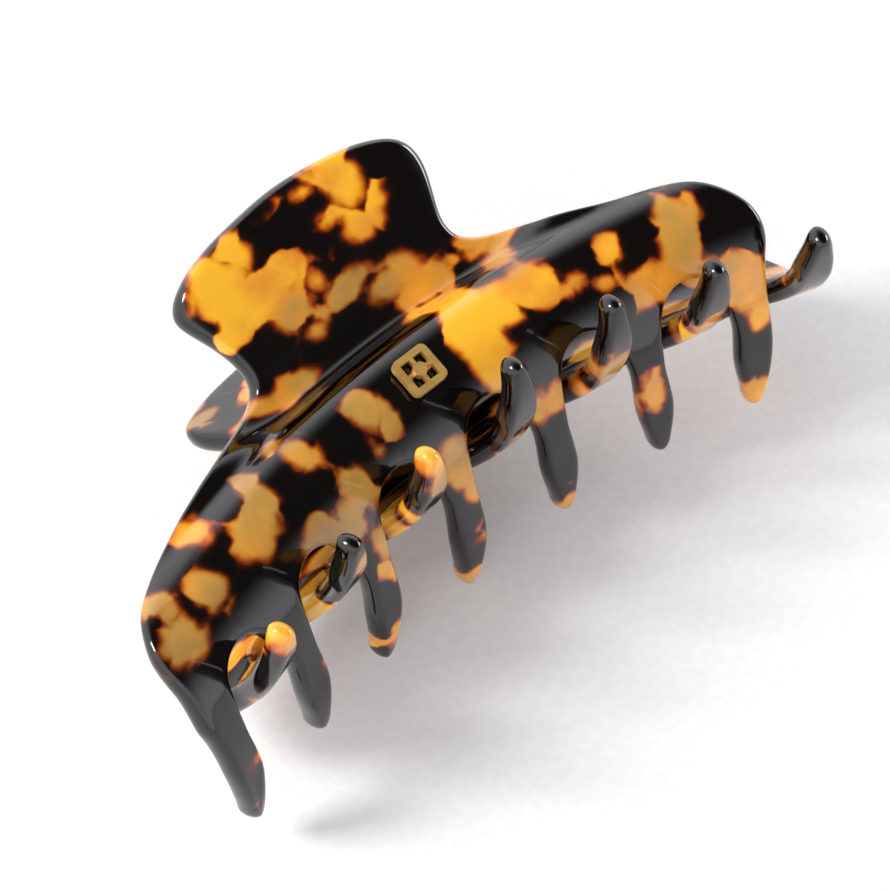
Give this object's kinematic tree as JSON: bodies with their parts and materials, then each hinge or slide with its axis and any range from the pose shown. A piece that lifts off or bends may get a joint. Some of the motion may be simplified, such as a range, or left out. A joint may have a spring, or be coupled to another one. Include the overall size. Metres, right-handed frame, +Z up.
{
  "type": "hair claw clip",
  "caption": "Large hair claw clip: two arched sheet jaws with interleaving curved teeth on a sprung hinge, and a small raised ornament on one jaw.",
  "frame": {"origin": "middle of the bottom of the bounding box: the plane that the clip rests on when it lies on its side, under the middle of its length", "axes": "+X along the hinge pin and the clip's length, +Y from the teeth towards the handles' top, +Z up, with the front jaw uppermost"},
  "size_m": [0.1, 0.0508, 0.039],
  "materials": {
    "acetate": "polished tortoiseshell: near-black and dark brown patches over amber",
    "gold_trim": "polished gold colour plate",
    "hinge_metal": "gold colour plated steel",
    "spring_wire": "drawn spring wire"
  },
  "bodies": {
    "rear": {"rear_jaw": "acetate", "rear_hinge_leaf": "hinge_metal", "rear_leaf_rivet_1": "hinge_metal", "rear_leaf_rivet_2": "hinge_metal", "rear_leaf_rivet_3": "hinge_metal", "rear_leaf_rivet_4": "hinge_metal", "hinge_pin": "hinge_metal", "hinge_pin_washer": "hinge_metal", "torsion_spring": "spring_wire"},
    "front": {"front_jaw": "acetate", "front_hinge_leaf": "hinge_metal", "front_leaf_rivet_1": "hinge_metal", "front_leaf_rivet_2": "hinge_metal", "front_leaf_rivet_3": "hinge_metal", "front_leaf_rivet_4": "hinge_metal", "badge_plate": "gold_trim", "badge_post_left": "gold_trim", "badge_post_right": "gold_trim", "badge_nut_left": "gold_trim", "badge_nut_right": "gold_trim"}
  },
  "joints": [
    {"name": "jaw_hinge", "type": "hinge", "parent": "rear", "child": "front", "pos_m": [0, 0.01063, 0.01857], "axis": [-1, 0, 0], "range_deg": [0, 88], "stiffness_Nm_per_rad": 0.2, "springref_deg": -57.3, "deforming": ["torsion_spring"]}
  ]
}
